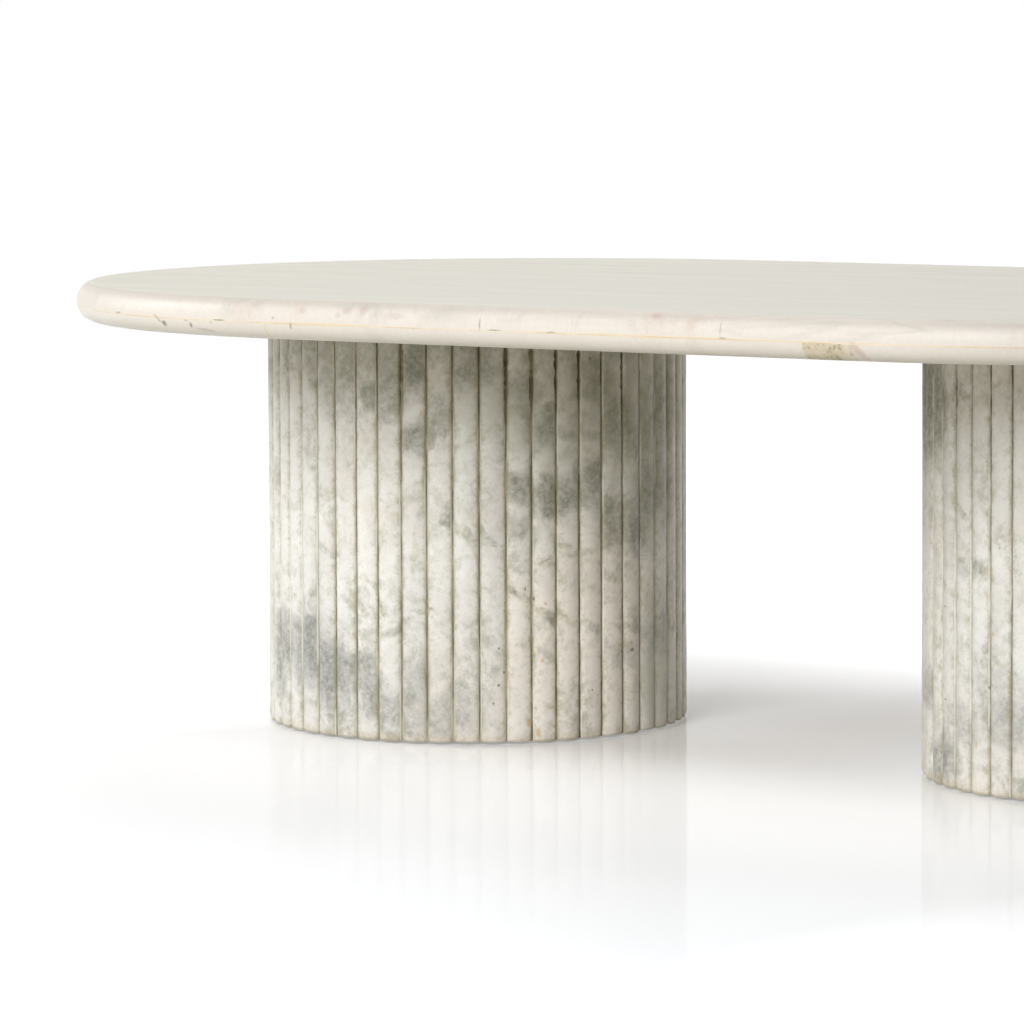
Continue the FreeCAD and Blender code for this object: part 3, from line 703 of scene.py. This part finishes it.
class Drum:
    """One drum's reeds and joints, drawn over the solids with the small faults of hand-laid stone."""

    def __init__(self, side, seed):
        self.side = side
        self.random = np.random.default_rng(seed)
        low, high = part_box(side + "_reeds")
        self.axis_x = (low.x + high.x) / 2
        self.radius = (high.y - low.y) / 2
        self.bottom, self.top = low.z, high.z
        self.shoulder = self.radius - REED_CROWN
        self.back = self.radius - REED_THICKNESS
        self.heights = np.linspace(0, 1, REED_RINGS)
        shape = (REED_COUNT, REED_RINGS)
        wander = self.random.uniform(-1, 1, REED_COUNT) * GROOVE_WANDER / self.shoulder
        lean = self.random.uniform(-1, 1, REED_COUNT) * GROOVE_LEAN / self.shoulder
        even = GROOVE_PHASES[side] + REED_STEP * np.arange(REED_COUNT)
        self.grooves = (even + wander)[:, None] + lean[:, None] * (self.heights - 0.5)[None, :]
        self.left_wear = self.wear(shape)
        self.right_wear = self.wear(shape)
        self.breaks = np.zeros(shape)
        ragged = np.random.default_rng(seed + 1).uniform(0.0, 1.0, shape)
        for degrees in BROKEN_JOINTS[side]:
            index = np.argmin(np.abs(wrap(even - math.radians(degrees), 1.0)))
            torn = np.clip((self.heights - BREAK_START) / (1 - BREAK_START) * BREAK_GAIN, 0, 1)
            self.breaks[index] = torn * ragged[index] * BREAK_WIDTH

    def wear(self, shape):
        """Chipping of a reed's shoulder along its height, from 0 to about 1."""
        rough = self.random.uniform(0, 1, shape)
        for _ in range(2):
            rough = (np.roll(rough, 1, 1) + 2 * rough + np.roll(rough, -1, 1)) / 4
        return np.clip((rough - CHIP_START) * CHIP_GAIN, 0, 1)

    def points(self, angles, radii, heights):
        return np.stack([self.axis_x + radii * np.cos(angles), radii * np.sin(angles), heights], -1)

    def reed(self, index):
        """Rings of points up one reed, with where each lies in the slab it was sawn from."""
        following = (index + 1) % REED_COUNT
        turn = 2 * math.pi if following == 0 else 0
        left = self.grooves[index] + self.breaks[index] / self.shoulder
        right = self.grooves[following] - self.breaks[following] / self.shoulder + turn
        middle = (left + right) / 2
        half = (right - left) / 2 * self.shoulder - GROOVE_HALF_WIDTH
        crest_drop = self.random.uniform(0, CREST_DROP_MM) * MM
        foot = self.bottom + self.random.uniform(0, FOOT_UNEVENNESS)
        across = np.sin(np.linspace(-math.pi / 2, math.pi / 2, FRONT_POINTS))
        left_chips = self.left_wear[index][:, None]
        right_chips = self.right_wear[following][:, None]
        chips = np.where(across[None, :] < 0, left_chips, right_chips)
        radius = SHOULDER_RADIUS * (1 + SHOULDER_WEAR * chips)
        aside = across[None, :] * half[:, None]
        inside = np.clip((np.abs(aside) - (half[:, None] - radius)) / radius, 0, 1)
        drop = REED_CROWN * across[None, :] ** 2 + radius * (1 - np.sqrt(1 - inside ** 2 * 0.999))
        depth = crest_drop + drop
        worn = np.clip(1 - self.heights * (self.top - self.bottom) / FOOT_ARRIS, 0, 1)[:, None]
        depth = depth + worn ** 2 * FOOT_ARRIS * FOOT_ARRIS_DROP
        back_half = np.full_like(half, self.back * math.tan(REED_STEP / 2) - BACK_GAP / 2)
        back_aside = np.stack([back_half, -back_half], -1)
        back_depth = np.full_like(back_aside, REED_THICKNESS)
        aside = np.concatenate([aside, back_aside], 1)
        depth = np.concatenate([depth, back_depth], 1)
        forward = self.radius - depth
        angles = middle[:, None] + np.arctan2(aside, forward)
        heights = (foot + (self.top - foot) * self.heights)[:, None] + np.zeros_like(aside)
        joint = np.clip(np.abs(aside) / half[:, None], 0, 1)
        lifted = self.random.uniform(*FOOT_CORNER_SHARE)
        heights[0] += FOOT_CORNER * lifted * joint[0] ** FOOT_CORNER_POWER
        rings = self.points(angles, np.hypot(aside, forward), heights)
        jump = self.random.uniform(-1, 1, 2) * STONE_JUMP
        flat = (middle[:, None] + 2 * math.pi * (middle[:, None] < -math.pi)) * self.radius + aside
        stone = np.stack([wrap(flat, self.radius) + jump[0], depth, heights - self.bottom + jump[1]], -1)
        tone = np.full_like(joint, self.random.uniform(*STONE_TONES))
        return rings, stone, joint, tone

    def build_reeds(self, material):
        rings, stone, joint, tone = zip(*[self.reed(index) for index in range(REED_COUNT)])
        obj = ring_object(self.side + "_marble_reeds", rings, material)
        add_attribute(obj, "stone", "FLOAT_VECTOR", np.concatenate([s.reshape(-1, 3) for s in stone]))
        add_attribute(obj, "joint", "FLOAT", np.concatenate([j.reshape(-1) for j in joint]))
        add_attribute(obj, "tone", "FLOAT", np.concatenate([t.reshape(-1) for t in tone]))
        finish_piece(obj, self.side + "_reeds")

    def build_grout(self, material):
        rings = []
        for index in range(REED_COUNT):
            centre = self.grooves[index]
            dips = self.wear((1, REED_RINGS))[0]
            outer = self.shoulder - GROUT_SETBACK - dips * GROUT_VOID - self.breaks[index] * BREAK_DEPTH
            inner = np.full_like(outer, self.shoulder - GROUT_SETBACK - GROUT_DEPTH)
            half = (GROOVE_HALF_WIDTH + GROUT_OVERLAP) / self.shoulder
            foot = self.bottom + FOOT_UNEVENNESS
            heights = foot + (self.top - self.bottom - FOOT_UNEVENNESS) * self.heights
            narrow = half * GROUT_TAPER
            corners = [(-half, outer), (half, outer), (narrow, inner), (-narrow, inner)]
            rings.append(np.stack([self.points(centre + a, r, heights) for a, r in corners], 1))
        obj = ring_object(self.side + "_joint_filler", rings, material)
        finish_piece(obj, self.side + "_reed_grout")


def wrap(flat, radius):
    """Length round the drum, brought into one turn about the front."""
    turn = 2 * math.pi * radius
    return (flat + turn / 2) % turn - turn / 2


def ring_object(name, stacks, material):
    """Closed solids, each a stack of rings of points joined by quads and capped at both ends."""
    points, faces, offset = [], [], 0
    for rings in stacks:
        count, across = rings.shape[:2]
        points.append(rings.reshape(-1, 3))
        starts = offset + np.arange(count - 1)[:, None] * across
        here = starts + np.arange(across)[None, :]
        after = starts + (np.arange(across)[None, :] + 1) % across
        quads = np.stack([here, after, after + across, here + across], -1).reshape(-1, 4)
        faces.extend(quads.tolist())
        faces.append([offset + i for i in reversed(range(across))])
        faces.append([offset + (count - 1) * across + i for i in range(across)])
        offset += count * across
    mesh = bpy.data.meshes.new(name)
    mesh.from_pydata(np.concatenate(points).tolist(), [], faces)
    mesh.validate()
    mesh.shade_smooth()
    mesh.set_sharp_from_angle(angle=SHARP_ANGLE)
    mesh.materials.append(material)
    obj = bpy.data.objects.new(name, mesh)
    bpy.context.scene.collection.objects.link(obj)
    return obj


def add_attribute(obj, name, kind, values):
    made = obj.data.attributes.new(name, kind, "POINT")
    field = "vector" if kind == "FLOAT_VECTOR" else "value"
    made.data.foreach_set(field, values.astype(np.float32).ravel())


def finish_piece(obj, node):
    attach(obj, "table")
    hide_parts(node)


# Floor: its colour as bounced light and as seen, and a painted glow, seen but giving no light, that
# whitens it round the shadow between the drums, over other shade in front, to the sides and behind, and
# at the drums' foot.
# Each fade goes between two places, from one strength to another
FLOOR_HALF_SIZE = 40.0
FLOOR_BOUNCE = (0.665, 0.68, 0.60)
FLOOR_WHITE = (0.94, 0.95, 0.97)
GLOW_FAR = (1.0, 2.6, 0.10, 0.99)
GLOW_BACK = (0.30, 0.85, 0.10, 0.85)
GLOW_FRONT = (-0.08, -0.34, 0.10, 0.33)
GLOW_FRONT_FALL = (-0.45, -1.0, 0.0, 0.16)
GLOW_SIDES = (0.40, 0.60, 0.10, 0.32)
GLOW_CONTACT = (0.004, -0.004, 0.10, 0.45)
GLOSS_NEAR = (0.25, 0.0, 0.0, 0.13)
GLOSS_FAR = (1.15, 0.1, 0.0, 0.17)
GLOSS_ROUGHNESS = 0.03
DRUM_AXES = (-0.375, 0.375)
DRUM_REACH = 0.21
# World: strength and tint as light. Seen directly or in a reflection it is white
WORLD_LIGHT = 0.03
WORLD_TINT = (0.97, 1.0, 0.86)
# Lamps: name, azimuth and elevation in degrees, distance and size in metres, power in watts
LAMPS = [
    ("key", 5, 25, 4.0, 1.9, 119),
    ("side", -72, 25, 4.0, 1.6, 49),
    ("overhead", -155, 50, 3.5, 2.8, 68),
    ("rim", 105, 8, 4.0, 1.5, 9),
]
LAMP_AIM = Vector((0, 0, 0.25))
CLIP_END = 200


def floor_material():
    """White studio floor: shows the shadow, and a faint gloss close to the drums."""
    g = Graph("studio_floor")
    place = g.object_place()
    path = g.node("ShaderNodeLightPath").outputs
    seen = g.math("MAXIMUM", path["Is Camera Ray"], path["Is Glossy Ray"])
    seen = g.math("MAXIMUM", seen, path["Is Transmission Ray"])
    lit = g.node("ShaderNodeBsdfDiffuse")
    g.put(lit.inputs["Color"], g.mix(seen, FLOOR_BOUNCE, FLOOR_WHITE))
    glow = g.node("ShaderNodeEmission")
    level = g.vector("MULTIPLY", place, (1.0, 1.0, 0.0))
    x, y = g.split(place)[:2]
    white = g.step(g.vector("LENGTH", level), *GLOW_FAR)
    white = g.math("MAXIMUM", white, g.step(y, *GLOW_BACK))
    front = g.math("SUBTRACT", g.step(y, *GLOW_FRONT), g.step(y, *GLOW_FRONT_FALL))
    white = g.math("MAXIMUM", white, front)
    white = g.math("MAXIMUM", white, g.step(g.math("ABSOLUTE", x), *GLOW_SIDES))
    base = g.node("ShaderNodeAddShader")
    g.tree.links.new(lit.outputs[0], base.inputs[0])
    g.tree.links.new(glow.outputs[0], base.inputs[1])
    gloss = g.node("ShaderNodeBsdfGlossy")
    g.put(gloss.inputs["Roughness"], GLOSS_ROUGHNESS)
    blend = g.node("ShaderNodeMixShader")
    reaches = [g.vector("DISTANCE", level, (axis, 0, 0)) for axis in DRUM_AXES]
    reach = g.math("SUBTRACT", g.math("MINIMUM", *reaches), DRUM_REACH)
    # Painted light: the floor glows right at the drums' foot, lightening the shade in the gap under the
    # reeds.
    white = g.math("MAXIMUM", white, g.step(reach, *GLOW_CONTACT))
    g.put(glow.inputs["Strength"], g.times(seen, white))
    near = g.math("ADD", g.step(reach, *GLOSS_NEAR), g.step(reach, *GLOSS_FAR))
    g.put(blend.inputs[0], near)
    g.tree.links.new(base.outputs[0], blend.inputs[1])
    g.tree.links.new(gloss.outputs[0], blend.inputs[2])
    g.tree.links.new(blend.outputs[0], g.output.inputs["Surface"])
    return g.material


def build_floor():
    size = FLOOR_HALF_SIZE
    mesh = bpy.data.meshes.new("studio_floor")
    corners = [(-size, -size, 0), (size, -size, 0), (size, size, 0), (-size, size, 0)]
    mesh.from_pydata(corners, [], [(0, 1, 2, 3)])
    mesh.materials.append(floor_material())
    floor = bpy.data.objects.new("studio_floor", mesh)
    bpy.context.scene.collection.objects.link(floor)


def build_world():
    """White behind the object and in its reflections, softer as light."""
    world = bpy.data.worlds.new("studio")
    bpy.context.scene.world = world
    world.use_nodes = True
    nodes, links = world.node_tree.nodes, world.node_tree.links
    path = nodes.new("ShaderNodeLightPath")
    seen = nodes.new("ShaderNodeMath")
    seen.operation = "MAXIMUM"
    links.new(path.outputs["Is Camera Ray"], seen.inputs[0])
    links.new(path.outputs["Is Glossy Ray"], seen.inputs[1])
    through = nodes.new("ShaderNodeMath")
    through.operation = "MAXIMUM"
    links.new(seen.outputs[0], through.inputs[0])
    links.new(path.outputs["Is Transmission Ray"], through.inputs[1])
    strength = nodes.new("ShaderNodeMapRange")
    strength.inputs["To Min"].default_value = WORLD_LIGHT
    strength.inputs["To Max"].default_value = 1.0
    links.new(through.outputs[0], strength.inputs["Value"])
    background = nodes["Background"]
    tint = nodes.new("ShaderNodeMix")
    tint.data_type = "RGBA"
    tint.inputs[MIX_FIRST].default_value = (*WORLD_TINT, 1)
    tint.inputs[MIX_SECOND].default_value = (1, 1, 1, 1)
    links.new(through.outputs[0], tint.inputs[0])
    links.new(tint.outputs[MIX_RESULT], background.inputs["Color"])
    links.new(strength.outputs[0], background.inputs["Strength"])


def build_light(name, azimuth, elevation, distance, size, power):
    """Soft square lamp aimed at the table. Azimuth 0 stands in front, and positive is to the right."""
    turn, lift = math.radians(azimuth), math.radians(elevation)
    level = math.cos(lift)
    away = Vector((math.sin(turn) * level, -math.cos(turn) * level, math.sin(lift)))
    data = bpy.data.lights.new(name, "AREA")
    data.size = size
    data.energy = power
    lamp = bpy.data.objects.new(name, data)
    lamp.location = LAMP_AIM + away * distance
    lamp.rotation_euler = (-away).to_track_quat("-Z", "Y").to_euler()
    bpy.context.scene.collection.objects.link(lamp)


def build_camera():
    data = bpy.data.cameras.new("camera")
    data.sensor_width = SENSOR_WIDTH_MM
    data.lens = FOCAL_LENGTH_PX / IMAGE_SIZE * SENSOR_WIDTH_MM
    data.shift_y = LENS_SHIFT
    data.clip_end = CLIP_END
    right = Vector((math.cos(CAMERA_YAW), -math.sin(CAMERA_YAW), 0))
    level = Vector((math.sin(CAMERA_YAW), math.cos(CAMERA_YAW), 0))
    ahead = level * math.cos(CAMERA_PITCH) - Vector((0, 0, math.sin(CAMERA_PITCH)))
    above = right.cross(ahead)
    rolled_right = right * math.cos(CAMERA_ROLL) + above * math.sin(CAMERA_ROLL)
    rolled_above = above * math.cos(CAMERA_ROLL) - right * math.sin(CAMERA_ROLL)
    camera = bpy.data.objects.new("camera", data)
    turn = Matrix((rolled_right, rolled_above, -ahead)).transposed().to_4x4()
    camera.matrix_world = Matrix.Translation(CAMERA_PLACE) @ turn
    bpy.context.scene.collection.objects.link(camera)
    bpy.context.scene.camera = camera


def dress_solids():
    seam_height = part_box("bond_layer")[1].z
    finishes = {
        "marble_top": top_marble(seam_height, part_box("edge_strip_front")[0].x),
        "resin": resin(),
        "plywood": plywood(),
        "steel": plated_steel(),
        "nylon": nylon(),
    }
    for part in frame["record"]["subparts"]:
        if part["material_slot"] in finishes:
            dress(part["node"], finishes[part["material_slot"]])


bpy.context.scene.view_settings.view_transform = "Standard"
dress_solids()
joint_filler = grout()
for side, seed in DRUM_SEEDS.items():
    drum = Drum(side, seed)
    drum.build_reeds(reed_marble(side, drum.radius, drum.bottom))
    drum.build_grout(joint_filler)
build_floor()
build_world()
for lamp in LAMPS:
    build_light(*lamp)
build_camera()
